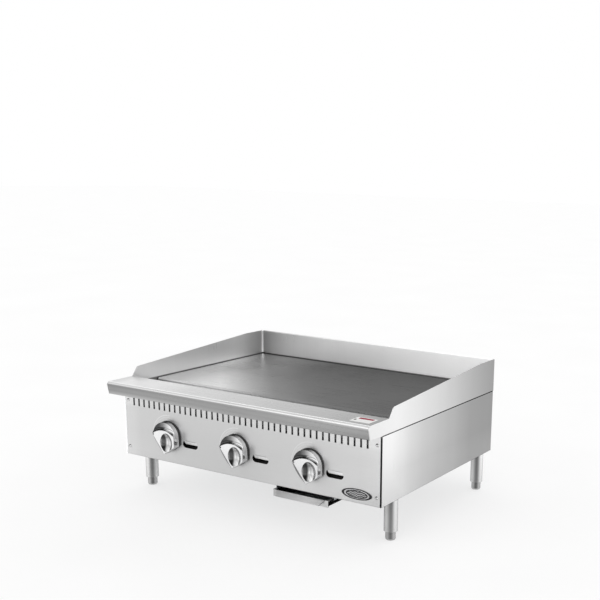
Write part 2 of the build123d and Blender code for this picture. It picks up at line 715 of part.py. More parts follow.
# pilot valves stand behind the sight openings
with BuildPart() as pilot_valves:
    with BuildSketch(level(MANIFOLD_Z + PILOT_BOSS_H)):
        with Locations(*plan(*[(x, MANIFOLD_DEPTH) for x in SIGHT_X])):
            Circle(6)
    extrude(amount=18)
    # spigots forwards, then rearwards to the pilot tubes
    for spigot_r, spigot_run in ((4, 14), (4.5, -12)):
        with BuildSketch(facing(MANIFOLD_DEPTH)):
            with Locations(*[(x, PILOT_LINE_Z) for x in SIGHT_X]):
                Circle(spigot_r)
        extrude(amount=spigot_run)
save(pilot_valves, "pilot_valves")

SHIELD_HALF = 405
SHIELD_FRONT = 112
with BuildPart() as heat_shield:
    add(strip(across(-SHIELD_HALF),
              section((126, FLOOR_Z), (SHIELD_FRONT, FLOOR_Z), (SHIELD_FRONT, 258)),
              2.2, SHEET, 2 * SHIELD_HALF, Side.RIGHT))
    with BuildSketch(facing(SHIELD_FRONT - 2)):
        with Locations(*KNOB_SPOTS):
            Circle(18)
        with Locations(*[(x, PILOT_Z) for x in SIGHT_X]):
            Circle(6)
        with Locations((INLET_X, MANIFOLD_Z)):
            Circle(16)
    extrude(amount=-6, mode=Mode.SUBTRACT)
save(heat_shield, "heat_shield")

# two inverted channels across the body, their tops touching the burners' undersides
BURNER_RAIL_TOP = KNOB_Z - BURNER_R
BURNER_RAIL_LEFT, BURNER_RAIL_LEN = -386, 770
with BuildPart() as burner_rails:
    for depth in (196.0, 586.0):
        front, rear = depth - 12, depth + 12
        add(strip(across(BURNER_RAIL_LEFT),
                  section((front, FLOOR_Z), (front, BURNER_RAIL_TOP),
                          (rear, BURNER_RAIL_TOP), (rear, FLOOR_Z)),
                  3.0, 1.5, BURNER_RAIL_LEN, Side.RIGHT))
save(burner_rails, "burner_rails")

# ---------------------------------------------------------------- controls
with BuildPart() as knob_bezels:
    with BuildSketch(facing(0)):
        with Locations(*KNOB_SPOTS):
            Circle(KNOB_R + 1.5)
            Circle(8, mode=Mode.SUBTRACT)
    extrude(amount=4.5)
    bezel_fronts = knob_bezels.faces().sort_by(Axis.Y)[0:3]
    chamfer(bezel_fronts.edges().group_by(SortBy.RADIUS)[-1], length=1.5)
save(knob_bezels, "knob_bezels")


def valve_stem(name, x):
    rear, out = 18, 17
    with BuildPart() as stem:
        with BuildSketch(facing(rear)):
            with Locations((x, KNOB_Z)):
                Circle(STEM_R)
        extrude(amount=rear + out)
        # flat that keys the knob
        with BuildSketch(facing(-8)):
            with Locations((x, KNOB_Z - STEM_R)):
                Rectangle(10, 2.4)
        extrude(amount=20, mode=Mode.SUBTRACT)
    save(stem, "valve_stem_" + name)


def cast_knob(name, x):
    """Round skirt with a thumb toe below, a raised grip whose crest curves over to the pointer
    tip at the cook's left, a slanting flank under the tip and one lens-shaped finger scoop."""
    # three points on the flank: x and z from the knob's axis, distance ahead of the panel
    flank = [Vector(x + right, y_at(-out), KNOB_Z + up) for right, up, out in (
        (-43.7, 4.5, 22), (-4.2, -47.3, 22), (-20.7, -15.8, 27))]
    flank_normal = (flank[1] - flank[0]).cross(flank[2] - flank[0]).normalized()
    # circular step between grip and skirt, about an axis below the knob's
    step_x, step_z = x + 2.4, KNOB_Z - 43.4
    crest, step_foot = step_z + 65.4, step_z + 76.0
    # the scoop turns about a vertical axis ahead of the knob
    scoop_x, scoop_out, scoop_r = x + 15, 44, 28.6
    scoop_low, scoop_high = KNOB_Z - 53.8, KNOB_Z + 25.8

    with BuildPart() as knob:
        with BuildSketch(facing(-KNOB_BACK)):
            with Locations((x, KNOB_Z)):
                Circle(KNOB_R)
            with Locations((x + 5, KNOB_Z - 43.5)):
                Circle(5.5)
            with Locations((x + 39, KNOB_Z - 22)):
                Circle(5)
            make_hull()
        extrude(amount=GRIP_OUT - KNOB_BACK)
        # slanting flank below the pointer tip
        split(bisect_by=Plane(origin=flank[0], z_dir=flank_normal), keep=Keep.BOTTOM)
        # the skirt is lower than the grip outside a shallow curved step
        with BuildSketch(across(step_x)):
            with BuildLine():
                step = section((-GRIP_OUT - 0.6, crest), (-SKIRT_OUT - 2.6, crest + 3.4),
                               (-SKIRT_OUT, step_foot))
                ThreePointArc(*step)
                Polyline(step[2], *section((-SKIRT_OUT, step_foot + 70),
                                           (-40, step_foot + 70), (-40, crest)), step[0])
            make_face()
        revolve(axis=Axis((step_x, 0, step_z), (0, 1, 0)), mode=Mode.SUBTRACT)
        # finger scoop
        with BuildSketch(across(scoop_x)):
            with BuildLine():
                low, middle, high = section(
                    (-scoop_out, scoop_low),
                    (-scoop_out + scoop_r, (scoop_low + scoop_high) / 2),
                    (-scoop_out, scoop_high))
                ThreePointArc(low, middle, high)
                Line(high, low)
            make_face()
        revolve(axis=Axis((scoop_x, y_at(-scoop_out), 0), (0, 0, 1)), mode=Mode.SUBTRACT)
        # punched pointer mark
        with BuildSketch(facing(-GRIP_OUT)):
            with Locations((x - 34.5, KNOB_Z + 6.5)):
                Circle(1.8)
        extrude(amount=-0.8, mode=Mode.SUBTRACT)
        # blind bore for the stem
        with BuildSketch(facing(-5)):
            with Locations((x, KNOB_Z)):
                Circle(STEM_R + 0.02)
        extrude(amount=12.6, mode=Mode.SUBTRACT)
    save(knob, "knob_" + name)


for name, knob_x in zip(NAMES, KNOB_X):
    valve_stem(name, knob_x)
    cast_knob(name, knob_x)

# ---------------------------------------------------------------- legs
# half section (radius, z): tube, closed top, stud through the pan, threaded collar at the foot
SLEEVE = [(15.0, 26.0), (SLEEVE_R, 26.0), (SLEEVE_R, 116.9), (5, 116.9), (5, 136),
          (0, 136), (0, 111), (17.4, 111), (17.4, 36), (15.0, 36)]
# half section (radius, z) of the foot: its rounded heel, then up the side and back to the axis
HEEL = [(9.5, 0), (13.0, 2.2), (FOOT_R, 6.5)]
FOOT_SIDE = [(FOOT_R, 6.5), (FOOT_R, 22.0), (14.9, 22.0), (14.9, 84), (0, 84), (0, 0)]


def half_section(depth, points):
    return section(*[(depth + radius, z) for radius, z in points])


def leg_sleeve(place, x, depth):
    with BuildPart() as sleeve:
        with BuildSketch(across(x)):
            with BuildLine():
                Polyline(*half_section(depth, SLEEVE), close=True)
            make_face()
        revolve(axis=Axis((x, y_at(depth), 0), (0, 0, 1)))
    save(sleeve, "leg_sleeve_" + place)


def leg_foot(place, x, depth):
    with BuildPart() as foot:
        with BuildSketch(across(x)):
            with BuildLine():
                Polyline(*half_section(depth, [(0, 0), HEEL[0]]))
                ThreePointArc(*half_section(depth, HEEL))
                Polyline(*half_section(depth, FOOT_SIDE))
            make_face()
        revolve(axis=Axis((x, y_at(depth), 0), (0, 0, 1)))
        # spanner flats
        for sign in (-1, 1):
            with BuildSketch(level(9)):
                with Locations((x + sign * 18.2, y_at(depth))):
                    Rectangle(10, 30)
            extrude(amount=8, mode=Mode.SUBTRACT)
    save(foot, "foot_" + place)


for row, depth in zip(("front", "rear"), LEG_DEPTH):
    for side, sign in SIDES:
        leg_sleeve(row + "_" + side, sign * LEG_X, depth)
        leg_foot(row + "_" + side, sign * LEG_X, depth)

with BuildPart() as leg_nuts:
    with BuildSketch(level(122.0)):
        with Locations(*LEG_SPOTS):
            RegularPolygon(9.8, 6)
            Circle(5.1, mode=Mode.SUBTRACT)
    extrude(amount=8)
save(leg_nuts, "leg_nuts")

# ---------------------------------------------------------------- fasteners and labels
# half section (radius, depth) of a panel screw: domed head, then shank
SCREW_DOME = [(1.6, -3.2), (4.0, -2.2), (5.0, 0)]
SCREW_SHANK = [(5.0, 0), (2.4, 0), (2.4, 9), (0, 9), (0, -3.2)]
with BuildPart() as panel_screws:
    for screw_x, z in PANEL_SCREWS:
        with BuildSketch(level(z)):
            with BuildLine():
                Polyline(*plan((screw_x, -3.2), (screw_x + 1.6, -3.2)))
                ThreePointArc(*plan(*[(screw_x + out, depth) for out, depth in SCREW_DOME]))
                Polyline(*plan(*[(screw_x + out, depth) for out, depth in SCREW_SHANK]))
            make_face()
        revolve(axis=Axis((screw_x, 0, z), (0, 1, 0)))
    # cross recesses
    with BuildSketch(facing(-4)):
        with Locations(*PANEL_SCREWS):
            Rectangle(5.4, 1.1, rotation=35)
            Rectangle(5.4, 1.1, rotation=125)
    extrude(amount=-2.4, mode=Mode.SUBTRACT)
save(panel_screws, "panel_screws")

SHANK_IN = 6             # rear screws' reach ahead of the side panels' rear edge
with BuildPart() as rear_screws:
    with BuildSketch(facing(REAR + SHEET)):
        with Locations(*REAR_SCREWS):
            Circle(4.6)
    extrude(amount=-2.2)
    chamfer(rear_screws.faces().sort_by(Axis.Y)[-6:].edges(), length=0.8)
    with BuildSketch(facing(REAR - SHANK_IN)):
        with Locations(*REAR_SCREWS):
            Circle(2.3)
    extrude(amount=-(SHANK_IN + SHEET))
save(rear_screws, "rear_screws")

# plain oval plate with a raised rim, a fine inner ring and three rising heat waves
BADGE_X, BADGE_Z = 380, 142
BADGE_T = 1.0
RELIEF = 0.6
WAVE_STEPS = 16          # four to a wavelength
WAVE_T = 1.3
with BuildPart() as nameplate:
    with BuildSketch(facing(0)):
        with Locations((BADGE_X, BADGE_Z)):
            Ellipse(47.5, 15)
    extrude(amount=BADGE_T)
    with BuildSketch(facing(-BADGE_T)):
        with Locations((BADGE_X, BADGE_Z)):
            Ellipse(47.5, 15)
            Ellipse(45.2, 12.9, mode=Mode.SUBTRACT)
            Ellipse(42.0, 10.6)
            Ellipse(41.0, 9.8, mode=Mode.SUBTRACT)
    extrude(amount=RELIEF)
    with BuildSketch(facing(-BADGE_T)):
        with BuildLine():
            for lift in (-4.0, 0.0, 4.0):
                wave_half = 31.0 - abs(lift) * 2.2
                upper = [(BADGE_X - wave_half + 2 * wave_half * i / WAVE_STEPS,
                          BADGE_Z + lift + 1.1 * math.sin(i * math.pi / 2))
                         for i in range(WAVE_STEPS + 1)]
                lower = [(x, z - WAVE_T) for x, z in reversed(upper)]
                Spline(*upper)
                Line(upper[-1], lower[0])
                Spline(*lower)
                Line(lower[-1], upper[0])
        make_face()
    extrude(amount=RELIEF)
save(nameplate, "nameplate")

with BuildPart() as shelf_label:
    with BuildSketch(level(SHELF_Z)):
        with Locations((409.5, y_at(-16))):
            RectangleRounded(61, 46, 2)
    extrude(amount=0.3)
save(shelf_label, "shelf_label")
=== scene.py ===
import math

import bpy
from mathutils import Matrix, Vector

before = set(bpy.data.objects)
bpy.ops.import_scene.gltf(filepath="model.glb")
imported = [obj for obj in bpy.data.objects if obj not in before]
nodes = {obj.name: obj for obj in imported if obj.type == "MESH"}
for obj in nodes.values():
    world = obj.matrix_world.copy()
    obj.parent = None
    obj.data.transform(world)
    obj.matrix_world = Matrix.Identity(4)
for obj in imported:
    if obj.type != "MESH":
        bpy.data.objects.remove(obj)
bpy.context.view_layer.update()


CENTRE = 0.312                      # control panel face sits this far ahead of the origin


def fy(d):
    return d - CENTRE


# ------------------------------------------------------------------ node helpers
class Mat:
    """Small wrapper that keeps shader graphs short."""

    def __init__(self, name):
        self.m = bpy.data.materials.new(name)
        self.m.use_nodes = True
        self.t = self.m.node_tree
        self.t.nodes.clear()
        self.out = self.t.nodes.new("ShaderNodeOutputMaterial")
        self.p = self.t.nodes.new("ShaderNodeBsdfPrincipled")
        self.t.links.new(self.p.outputs[0], self.out.inputs[0])
        self.obj = self.t.nodes.new("ShaderNodeTexCoord").outputs["Object"]
        sep = self.t.nodes.new("ShaderNodeSeparateXYZ")
        self.link(self.obj, sep.inputs[0])
        self.x, self.y, self.z = sep.outputs

    def link(self, a, b):
        self.t.links.new(a, b)

    def put(self, socket, v):
        if isinstance(v, bpy.types.NodeSocket):
            self.link(v, socket)
        elif isinstance(v, (tuple, list)):
            socket.default_value = (*v, 1.0) if len(v) == 3 and socket.type == "RGBA" else v
        else:
            socket.default_value = v

    def set(self, **kw):
        for k, v in kw.items():
            self.put(self.p.inputs[k.replace("_", " ")], v)

    def math(self, op, a, b=0.0, c=0.0, clamp=False):
        n = self.t.nodes.new("ShaderNodeMath")
        n.operation, n.use_clamp = op, clamp
        for i, v in enumerate((a, b, c)):
            self.put(n.inputs[i], v)
        return n.outputs[0]

    def remap(self, v, a, b, c, d, smooth=False):
        n = self.t.nodes.new("ShaderNodeMapRange")
        n.interpolation_type = "SMOOTHSTEP" if smooth else "LINEAR"
        for i, w in enumerate((v, a, b, c, d)):
            self.put(n.inputs[i], w)
        return n.outputs[0]

    def noise(self, scale, detail=3.0, rough=0.55, seed=0.0, base=1.0, distortion=0.0):
        """Noise stretched by a per-axis scale in object space."""
        mp = self.t.nodes.new("ShaderNodeMapping")
        self.link(self.obj, mp.inputs["Vector"])
        mp.inputs["Scale"].default_value = scale
        mp.inputs["Location"].default_value = (seed, seed * 1.7, seed * 2.3)
        n = self.t.nodes.new("ShaderNodeTexNoise")
        n.inputs["Scale"].default_value = base
        n.inputs["Detail"].default_value = detail
        n.inputs["Roughness"].default_value = rough
        n.inputs["Distortion"].default_value = distortion
        self.link(mp.outputs[0], n.inputs["Vector"])
        return n.outputs[0]

    def ramp(self, v, stops, mode="LINEAR"):
        n = self.t.nodes.new("ShaderNodeValToRGB")
        n.color_ramp.interpolation = mode
        el = n.color_ramp.elements
        while len(el) > 1:
            el.remove(el[-1])
        for i, (pos, col) in enumerate(stops):
            e = el[0] if i == 0 else el.new(pos)
            e.position = pos
            col = (col, col, col) if isinstance(col, (int, float)) else col
            e.color = (*col, 1.0)
        self.put(n.inputs[0], v)
        return n.outputs[0]

    def mix(self, f, a, b, blend="MIX"):
        n = self.t.nodes.new("ShaderNodeMix")
        n.data_type, n.blend_type = "RGBA", blend
        self.put(n.inputs[0], f)
        for s, v in ((n.inputs[6], a), (n.inputs[7], b)):
            if isinstance(v, (int, float)):
                v = (v, v, v)
            self.put(s, v)
        return n.outputs[2]

    def bump(self, height, strength=0.1, distance=0.0005, normal=None):
        n = self.t.nodes.new("ShaderNodeBump")
        n.inputs["Strength"].default_value = strength
        n.inputs["Distance"].default_value = distance
        self.link(height, n.inputs["Height"])
        if normal is not None:
            self.link(normal, n.inputs["Normal"])
        return n.outputs[0]

    def bevel(self, radius, samples=4):
        n = self.t.nodes.new("ShaderNodeBevel")
        n.samples = samples
        n.inputs["Radius"].default_value = radius
        return n.outputs[0]

    def tangent(self, v):
        n = self.t.nodes.new("ShaderNodeCombineXYZ")
        for i in range(3):
            n.inputs[i].default_value = v[i]
        self.link(n.outputs[0], self.p.inputs["Tangent"])


def grain_scale(axis, along, across):
    return tuple(along if "XYZ"[i] == axis else across for i in range(3))


def steel(name, tone, rough, grain, across=420.0, along=6.0, aniso=0.55, streak=0.06,
          bevel=0.0008, tint=(1.0, 1.0, 1.0), shade=None, stretch=None, bump=0.06, wear=0.0, edge=0.9, metal=1.0):
    """Brushed sheet: fine lines along `grain`, wide faint bands, uneven polish."""
    m = Mat(name)
    fine = m.noise(grain_scale(grain, along, across), detail=4.0, rough=0.6)
    broad = m.noise(grain_scale(grain, 0.6, 26.0), detail=2.0, rough=0.5, seed=3.1)
    cloud = m.noise((7, 7, 7), detail=3.0, seed=9.3)
    value = m.math("ADD", m.remap(fine, 0.25, 0.75, -streak, streak),
                   m.math("ADD", m.remap(broad, 0.3, 0.7, -streak * 0.4, streak * 0.4),
                          m.remap(cloud, 0.3, 0.7, -0.012, 0.012)))
    value = m.math("ADD", value, 1.0)
    colour = m.mix(1.0, tuple(tone * c for c in tint), value, "MULTIPLY")
    rim = (edge, edge, edge)
    if shade is not None:
        # painted light and shade: the shade function darkens or lightens the colour and the edge tint
        dim = shade(m)
        colour = m.mix(1.0, colour, dim, "MULTIPLY")
        rim = m.mix(1.0, rim, dim, "MULTIPLY")
    r = m.math("ADD", m.remap(fine, 0.3, 0.7, -0.05, 0.05),
               m.math("ADD", m.remap(cloud, 0.3, 0.7, -0.03 - wear, 0.03 + wear), rough))
    metal = metal(m) if callable(metal) else metal
    m.set(Base_Color=colour, Metallic=metal, Roughness=r, Anisotropic=aniso, Specular_Tint=rim)
    normal = m.bump(fine, bump, 0.0004, m.bevel(bevel) if bevel else None)
    m.set(Normal=normal)
    if stretch is not None:
        m.tangent(stretch)
    return m.m


def use(mat, *names):
    for n in names:
        o = nodes[n]
        o.data.materials.clear()
        o.data.materials.append(mat)


# ------------------------------------------------------------------ finishes, with painted light and shade
def depth_of(m):
    return m.math("ADD", m.y, CENTRE)


def side_shade(m):
    """Painted reflection fall-off along the side, as long sheets show under studio light, painted brighter low down,
    with painted shadow lines.
    """
    tone = m.ramp(m.remap(depth_of(m), -0.07, 0.66, 0.0, 1.0),
                  [(0.0, 1.0), (0.16, 1.0), (0.24, 0.9), (0.3, 0.8), (0.38, 0.71), (0.5, 0.62), (0.65, 0.54),
                   (0.78, 0.45), (1.0, 0.43)])
    # painted reflected light: brighter towards the bottom
    tone = m.mix(1.0, tone, m.remap(m.z, 0.12, 0.2, 1.16, 1.0), "MULTIPLY")
    # shadow line under the splash, in the joint beside the control panel and on the inside
    dark = m.math("GREATER_THAN", m.z, 0.3104)
    dark = m.math("MAXIMUM", dark, m.math("MULTIPLY", m.math("GREATER_THAN", m.x, 0.0), m.math("MAXIMUM", m.math("LESS_THAN", depth_of(m), 0.0012), m.math("LESS_THAN", m.x, 0.4566))))
    return m.mix(dark, tone, 0.05)


def splash_shade(m):
    # painted reflection: darker towards the rear
    tone = m.ramp(m.remap(depth_of(m), -0.07, 0.66, 0.0, 1.0),
                  [(0.0, 1.0), (0.2, 1.05), (0.35, 0.95), (0.55, 0.82), (0.8, 0.62), (1.0, 0.51)])
    # painted shadow line along the foot of the splash, over the side panel
    dark = m.math("MULTIPLY", m.math("LESS_THAN", m.z, 0.3134), m.math("GREATER_THAN", depth_of(m), 0.0))
    return m.mix(dark, tone, 0.05)


def splash_left_shade(m):
    # painted reflection along the splash, darker into the rear corner
    tone = m.ramp(m.remap(depth_of(m), 0.0, 0.66, 0.0, 1.0),
                  [(0.0, 1.07), (0.15, 1.05), (0.38, 0.98), (0.61, 1.0), (0.76, 1.02), (0.83, 0.96), (0.91, 0.76), (0.96, 0.7), (1.0, 0.7)])
    return m.mix(1.0, tone, foot_shadow_line(m), "MULTIPLY")


def plate_shade(m):
    """Ground plate: a painted sheen that fades from the front left corner, painted lighter towards the rear left, and
    painted shadow lines at the edges.
    """
    fan = m.math("ADD", m.x, m.math("MULTIPLY", m.math("SUBTRACT", depth_of(m), 0.15), 0.85))
    tone = m.ramp(m.remap(fan, -0.46, 0.74, 0.0, 1.0),
                  [(0.0, 1.02), (0.21, 1.02), (0.27, 0.82), (0.33, 0.65), (0.38, 0.52), (0.48, 0.42), (0.55, 0.39), (0.7, 0.36), (0.9, 0.345)])
    # painted lighter towards the rear left corner
    corner = m.math("MULTIPLY", m.remap(depth_of(m), 0.38, 0.6, 0.0, 1.0), m.remap(m.x, -0.42, -0.12, 1.0, 0.0))
    tone = m.mix(1.0, tone, m.math("ADD", 1.0, m.math("MULTIPLY", corner, 0.75)), "MULTIPLY")
    # painted shadow lines along the side and rear edges
    edge = m.math("MAXIMUM", m.math("GREATER_THAN", m.math("ABSOLUTE", m.x), 0.4503), m.math("GREATER_THAN", depth_of(m), 0.6475))
    return m.mix(edge, tone, 0.16)


def foot_shadow_line(m):
    """Painted shadow line where the splash meets the plate, on its cooking side only."""
    cooking = m.math("MULTIPLY", m.math("GREATER_THAN", m.x, -0.4556), m.math("LESS_THAN", m.y, fy(0.6545)))
    return m.mix(cooking, 1.0, m.remap(m.z, 0.3335, 0.3345, 0.3, 1.0))


def rear_shade(m):
    # painted reflection: darkest in the left corner, lighter towards the right
    tone = m.ramp(m.remap(m.x, -0.457, 0.457, 0.0, 1.0),
                  [(0.0, 0.43), (0.05, 0.6), (0.12, 0.75), (0.2, 0.83), (0.3, 0.94), (0.6, 1.08), (0.8, 1.2), (1.0, 1.22)])
    # painted highlight along the corner weld seam
    weld_highlight = m.math("MULTIPLY", m.math("LESS_THAN", m.x, -0.4492), m.math("LESS_THAN", m.y, fy(0.656)))
    tone = m.mix(m.math("MULTIPLY", weld_highlight, m.math("GREATER_THAN", m.z, 0.335)), tone, 1.25)
    return m.mix(1.0, tone, foot_shadow_line(m), "MULTIPLY")


def shelf_shade(m):
    """Painted reflection: the top of the shelf darkens towards the right, and the leaning face is painted darker than
    the roll above it.
    """
    top = m.ramp(m.remap(m.x, -0.457, 0.457, 0.0, 1.0),
                 [(0.0, 0.86), (0.05, 0.96), (0.18, 0.95), (0.28, 0.88), (0.5, 0.81), (0.61, 0.77), (0.83, 0.69), (0.94, 0.62), (1.0, 0.57)])
    # painted reflection down the leaning face, with a painted highlight on the roll
    face = m.ramp(m.remap(m.z, 0.310, 0.353, 0.0, 1.0),
                  [(0.0, 0.4), (0.19, 0.43), (0.35, 0.5), (0.51, 0.55), (0.65, 0.53), (0.77, 0.44), (0.835, 0.58), (0.88, 1.0), (1.0, 1.0)])
    # painted shade across the face: darker towards the left, lighter towards the right, most at its foot
    low = m.ramp(m.remap(m.x, -0.457, 0.457, 0.0, 1.0), [(0.0, 0.72), (0.3, 0.85), (0.6, 1.0), (1.0, 1.2)])
    face = m.mix(m.remap(m.z, 0.314, 0.324, 1.0, 0.0), face, m.mix(1.0, face, low, "MULTIPLY"))
    face = m.mix(1.0, face, m.ramp(m.remap(m.x, -0.457, 0.457, 0.0, 1.0), [(0.0, 0.76), (0.5, 0.93), (1.0, 1.28)]), "MULTIPLY")
    on_face = m.remap(depth_of(m), -0.0625, -0.0575, 1.0, 0.0)
    # painted dark line just behind the roll
    top = m.mix(inside(m, depth_of(m), -0.0548, -0.0528), top, m.mix(1.0, top, 0.78, "MULTIPLY"))
    # painted highlight along the top of the roll
    top = m.mix(inside(m, depth_of(m), -0.0585, -0.0548), top, 1.15)
    return m.mix(on_face, top, face)


def panel_shade(m):
    """Painted reflection across the panel, painted lighter low down, to the lower right and across the cooling slots,
    painted shadow in the slots and on the far end's edge, and a faint printed arc beside each knob.
    """
    tone = m.ramp(m.remap(m.x, -0.457, 0.457, 0.0, 1.0),
                  [(0.0, 1.02), (0.04, 1.0), (0.07, 0.94), (0.3, 0.93), (0.5, 0.96), (0.8, 1.04), (0.93, 1.14), (1.0, 1.26)])
    # painted reflected light: lighter towards the bottom, more so towards the right
    low = m.remap(m.z, 0.12, 0.2, 1.09, 1.0)
    tone = m.mix(1.0, tone, low, "MULTIPLY")
    right = m.math("MULTIPLY", m.remap(m.x, 0.0, 0.42, 0.0, 1.0), m.remap(m.z, 0.12, 0.24, 0.22, 0.0))
    tone = m.mix(1.0, tone, m.math("ADD", right, 1.0), "MULTIPLY")
    # painted lighter across the band of cooling slots
    tone = m.mix(1.0, tone, m.remap(m.z, 0.268, 0.28, 1.0, 1.1), "MULTIPLY")
    # painted shadow on the walls of the cooling slots
    wall = m.math("MULTIPLY", inside(m, depth_of(m), 0.0002, 0.0014), inside(m, m.z, 0.270, 0.3085))
    tone = m.mix(wall, tone, 0.06)
    # the far end's edge stands in the shadow of its joint
    tone = m.mix(m.math("GREATER_THAN", m.x, 0.4519), tone, 0.05)
    for kx in (-0.283, -0.0275, 0.228):
        dx, dz = m.math("SUBTRACT", m.x, kx), m.math("SUBTRACT", m.z, 0.199)
        r = m.math("SQRT", m.math("ADD", m.math("MULTIPLY", dx, dx), m.math("MULTIPLY", dz, dz)))
        ring = m.math("ADD", inside(m, r, 0.0548, 0.0556), inside(m, r, 0.0605, 0.0625))
        a = m.math("ARCTAN2", dz, dx)
        ring = m.math("MULTIPLY", ring, inside(m, a, 1.45, 3.15))
        ring = m.math("MULTIPLY", ring, m.math("LESS_THAN", m.y, -0.3119))
        tone = m.mix(m.math("MULTIPLY", ring, 0.65), tone, 1.22)
    return tone


def inside(m, v, lo, hi):
    return m.math("MULTIPLY", m.math("GREATER_THAN", v, lo), m.math("LESS_THAN", v, hi))



def sight_lip(m):
    """1 on the lips pressed in behind the sight openings, and the place across the nearest one."""
    behind = m.math("MULTIPLY", m.math("GREATER_THAN", depth_of(m), 0.0014), inside(m, m.z, 0.170, 0.1960))
    mask, at = 0.0, 0.0
    for sx in (-0.2, 0.058, 0.309):
        dx = m.math("SUBTRACT", m.x, sx)
        here = inside(m, dx, -0.0262, 0.0262)
        mask = m.math("ADD", mask, here)
        at = m.math("ADD", at, m.math("MULTIPLY", here, dx))
    return m.math("MULTIPLY", mask, behind), at


def panel_metal(m):
    lip, at = sight_lip(m)
    # painted glow on the lips pressed in behind the sight openings, stronger towards the right of each, with the
    # metal taken off there
    m.put(m.p.inputs["Emission Color"], (1.0, 1.0, 1.0))
    m.put(m.p.inputs["Emission Strength"], m.math("MULTIPLY", lip, m.remap(at, -0.024, 0.02, 0.02, 0.2)))
    return m.math("SUBTRACT", 1.0, lip)


panel_steel = steel("panel_steel", 0.7, 0.34, "X", stretch=(0, 0, 1), streak=0.015, shade=panel_shade, metal=panel_metal)


def side_metal(m):
    """The left panel's front edge catches the front soft box: a painted highlight, made with a glow and less metal
    there.
    """
    lip = m.math("MULTIPLY", m.math("LESS_THAN", m.x, -0.4552), m.math("LESS_THAN", depth_of(m), 0.03))
    lip = m.math("MULTIPLY", lip, m.math("MAXIMUM", m.math("GREATER_THAN", m.x, -0.4566), m.math("LESS_THAN", depth_of(m), 0.0015)))
    m.put(m.p.inputs["Emission Color"], (1.0, 1.0, 1.0))
    m.put(m.p.inputs["Emission Strength"], m.math("MULTIPLY", lip, 0.5))
    return m.math("SUBTRACT", 1.0, m.math("MULTIPLY", lip, 0.7))


side_steel = steel("side_steel", 1.0, 0.34, "Z", stretch=(0, 1, 0), streak=0.02, shade=side_shade, metal=side_metal)
splash_right_steel = steel("splash_right_steel", 0.90, 0.34, "Z", stretch=(0, 1, 0), streak=0.02,
                           shade=splash_shade)
splash_left_steel = steel("splash_left_steel", 0.72, 0.34, "Z", stretch=(0, 1, 0), streak=0.02,
                          shade=splash_left_shade, metal=0.6)


def rear_metal(m):
    """Satin splash: a painted glow, standing in for the studio's front soft box, brightens it towards the right,
    where it also holds less metal.
    """
    m.put(m.p.inputs["Emission Color"], (1.0, 1.0, 1.0))
    lift = m.math("MULTIPLY", m.remap(m.x, -0.4, 0.42, 0.03, 0.24), m.math("LESS_THAN", m.y, fy(0.656)))
    m.put(m.p.inputs["Emission Strength"], m.math("MULTIPLY", lift, m.remap(m.z, 0.333, 0.337, 0.0, 1.0)))
    return m.remap(m.x, -0.457, 0.4, 0.95, 0.3)


rear_steel = steel("rear_steel", 0.9, 0.34, "Z", stretch=(1, 0, 0), streak=0.02, shade=rear_shade, metal=rear_metal)
shelf_steel = steel("shelf_steel", 0.84, 0.3, "X", stretch=(0, 0, 1), streak=0.012, shade=shelf_shade)
back_steel = steel("back_steel", 0.66, 0.36, "X", stretch=(0, 0, 1), streak=0.03)
plate_steel = steel("plate_steel", 0.7, 0.3, "X", across=260.0, stretch=(0, 1, 0), streak=0.02,
                    aniso=0.4, shade=plate_shade, bump=0.04)
trough_steel = steel("trough_steel", 0.9, 0.38, "X", stretch=(0, 1, 0), streak=0.04, metal=0.4)


def world_normal(m, soft=None):
    """World-space normal split into x, y, z; softened over an edge radius when one is given."""
    if soft:
        src = m.bevel(soft, 6)
    else:
        src = m.t.nodes.new("ShaderNodeNewGeometry").outputs["Normal"]
    sep = m.t.nodes.new("ShaderNodeSeparateXYZ")
    m.link(src, sep.inputs[0])
    return sep.outputs


def drawer_shade(m):
    """Painted shadow makes the tray sides that face left and right near black, and a painted reflection brightens the
    lip towards the right.
    """
    nx = world_normal(m)[0]
    side = m.remap(m.math("ABSOLUTE", nx), 0.7, 0.8, 0.0, 1.0)
    side = m.math("MULTIPLY", side, m.math("GREATER_THAN", m.z, 0.0))
    tone = m.remap(m.x, 0.12, 0.265, 1.05, 1.75)
    return m.mix(side, tone, 0.03)


def lit_from_front(m):
    """Small domed head: painted light on the face, painted shade on the upper left shoulder."""
    nx, ny, nz = world_normal(m, 0.001)
    return m.remap(m.math("SUBTRACT", nz, m.math("MULTIPLY", nx, 0.5)), 0.15, 0.4, 1.1, 0.12)


drawer_steel = steel("drawer_steel", 0.6, 0.36, "X", stretch=(0, 0, 1), streak=0.03, shade=drawer_shade)
def tube_shade(m):
    """Polished tube: painted reflection bands that follow the view, a dim core, light bands either side of it and dim
    edges.
    """
    lw = m.t.nodes.new("ShaderNodeLayerWeight")
    lw.inputs["Blend"].default_value = 0.5
    return m.ramp(lw.outputs["Facing"], [(0.0, 0.2), (0.04, 0.24), (0.14, 0.78), (0.24, 1.1), (0.62, 1.1), (0.8, 0.6), (1.0, 0.4)])


leg_tube = steel("leg_tube", 0.85, 0.22, "Z", across=700.0, aniso=0.3, streak=0.03, stretch=(0, 0, 1), shade=tube_shade, metal=0.6)
foot_steel = steel("foot_steel", 0.6, 0.3, "Z", across=700.0, aniso=0.2, streak=0.05, shade=tube_shade, metal=0.7)
screw_steel = steel("screw_steel", 0.85, 0.26, "X", across=900.0, aniso=0.0, streak=0.05, bevel=0.0003, shade=lit_from_front)
stem_steel = steel("stem_steel", 0.6, 0.3, "Y", across=900.0, aniso=0.2)

